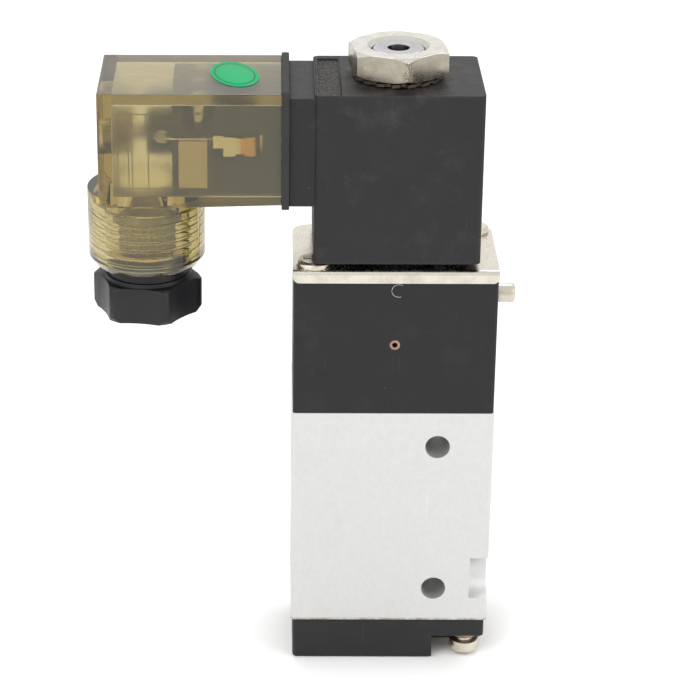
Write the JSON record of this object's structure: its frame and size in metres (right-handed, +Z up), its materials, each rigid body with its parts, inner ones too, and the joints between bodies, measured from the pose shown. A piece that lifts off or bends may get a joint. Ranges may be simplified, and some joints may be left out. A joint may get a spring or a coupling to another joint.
{
  "type": "solenoid directional valve",
  "caption": "Pilot-operated solenoid directional valve with a ported body, coil, plug-on lamp connector and manual override.",
  "frame": {"origin": "spool axis on the bottom face of the end cap", "axes": "+Z up the spool axis from the end cap to the coil nut, +X towards the single outlet port and the manual override, +Y towards the back"},
  "size_m": [0.0739, 0.0224, 0.1119],
  "materials": {
    "cast_aluminium_body": "fine bead-blasted",
    "black_plastic": "moulded, satin",
    "coil_plastic": "overmoulded, matt and a little dusty",
    "insert_plastic": "moulded",
    "gland_plastic": "moulded, slightly glossy",
    "amber_plastic": "clear smoky amber plastic",
    "ivory_plastic": "moulded",
    "lamp_plastic": "clear epoxy",
    "resistor_body": "matt ceramic",
    "seal_rubber": "smooth",
    "gasket_rubber": "matt",
    "clear_rubber": "translucent silicone",
    "plated_screw": "nickel plated",
    "nickel_plate": "nickel plated",
    "core_steel": "turned",
    "spring_steel": "drawn wire",
    "spool_aluminium": "turned and anodised",
    "brass_part": "turned",
    "tinned_brass": "bright",
    "copper_winding": "enamelled copper wire",
    "green_label": "glossy sticker"
  },
  "bodies": {
    "valve": {"valve_body": "cast_aluminium_body", "end_cap": "black_plastic", "end_cap_seal": "seal_rubber", "end_cap_screws": "plated_screw", "end_cap_washers": "plated_screw", "return_spring": "spring_steel", "pilot_block": "black_plastic", "pilot_gasket": "seal_rubber", "pilot_plug": "brass_part", "override_spring": "spring_steel", "override_pin": "spring_steel", "cover_plate": "nickel_plate", "plate_screws": "plated_screw", "core_tube": "brass_part", "tube_seal": "seal_rubber", "fixed_core": "core_steel", "armature_spring": "spring_steel", "coil_lower_washer": "seal_rubber", "coil_washer": "nickel_plate", "coil_nut": "nickel_plate"},
    "spool_set": {"spring_seat": "brass_part", "spool": "spool_aluminium", "spool_seals": "seal_rubber", "wear_rings": "ivory_plastic", "piston": "ivory_plastic", "piston_seal": "seal_rubber"},
    "override": {"override_plunger": "plated_screw", "override_seal": "seal_rubber"},
    "armature_set": {"armature": "core_steel", "armature_seal": "seal_rubber"},
    "coil_set": {"coil_housing": "coil_plastic", "coil_yoke": "core_steel", "coil_bobbin": "ivory_plastic", "coil_winding": "copper_winding", "terminal_blades": "tinned_brass", "screw_bush": "brass_part", "connector_gasket": "gasket_rubber", "connector_housing": "amber_plastic", "connector_insert": "insert_plastic", "contact_clips": "tinned_brass", "terminal_screws": "plated_screw", "contact_strip": "tinned_brass", "lamp_resistor": "resistor_body", "lamp_leads": "tinned_brass", "indicator_lamp": "lamp_plastic", "connector_screw": "plated_screw", "screw_seal": "seal_rubber", "inspection_label": "green_label", "gland_grommet": "clear_rubber"},
    "gland_feed": {"gland_washer": "tinned_brass"},
    "gland_turn": {"gland_nut": "gland_plastic"}
  },
  "joints": [
    {"name": "spool_shift", "type": "slide", "parent": "valve", "child": "spool_set", "axis": [0, 0, -1], "range_m": [0, 0.0028], "stiffness_N_per_m": 1500, "springref_m": -0.004, "deforming": ["return_spring"]},
    {"name": "override_push", "type": "slide", "parent": "valve", "child": "override", "axis": [-1, 0, 0], "range_m": [0, 0.002], "stiffness_N_per_m": 400, "springref_m": -0.003, "deforming": ["override_spring"]},
    {"name": "armature_lift", "type": "slide", "parent": "valve", "child": "armature_set", "axis": [0, 0, 1], "range_m": [0, 0.0009], "stiffness_N_per_m": 500, "springref_m": -0.004, "deforming": ["armature_spring"]},
    {"name": "coil_swivel", "type": "hinge", "parent": "valve", "child": "coil_set", "pos_m": [0, 0, 0.09], "axis": [0, 0, 1], "continuous": true},
    {"name": "gland_feed_slide", "type": "slide", "parent": "coil_set", "child": "gland_feed", "axis": [0, 0, 1], "range_m": [-0.0015, 0.00038]},
    {"name": "gland_nut_turn", "type": "hinge", "parent": "gland_feed", "child": "gland_turn", "pos_m": [-0.0426, 0, 0.0643], "axis": [0, 0, 1], "range_deg": [-360.1, 90.1]}
  ],
  "couplings": [
    {"joint": "gland_nut_turn", "follows": "gland_feed_slide", "rad_per_m": 4188.8}
  ]
}
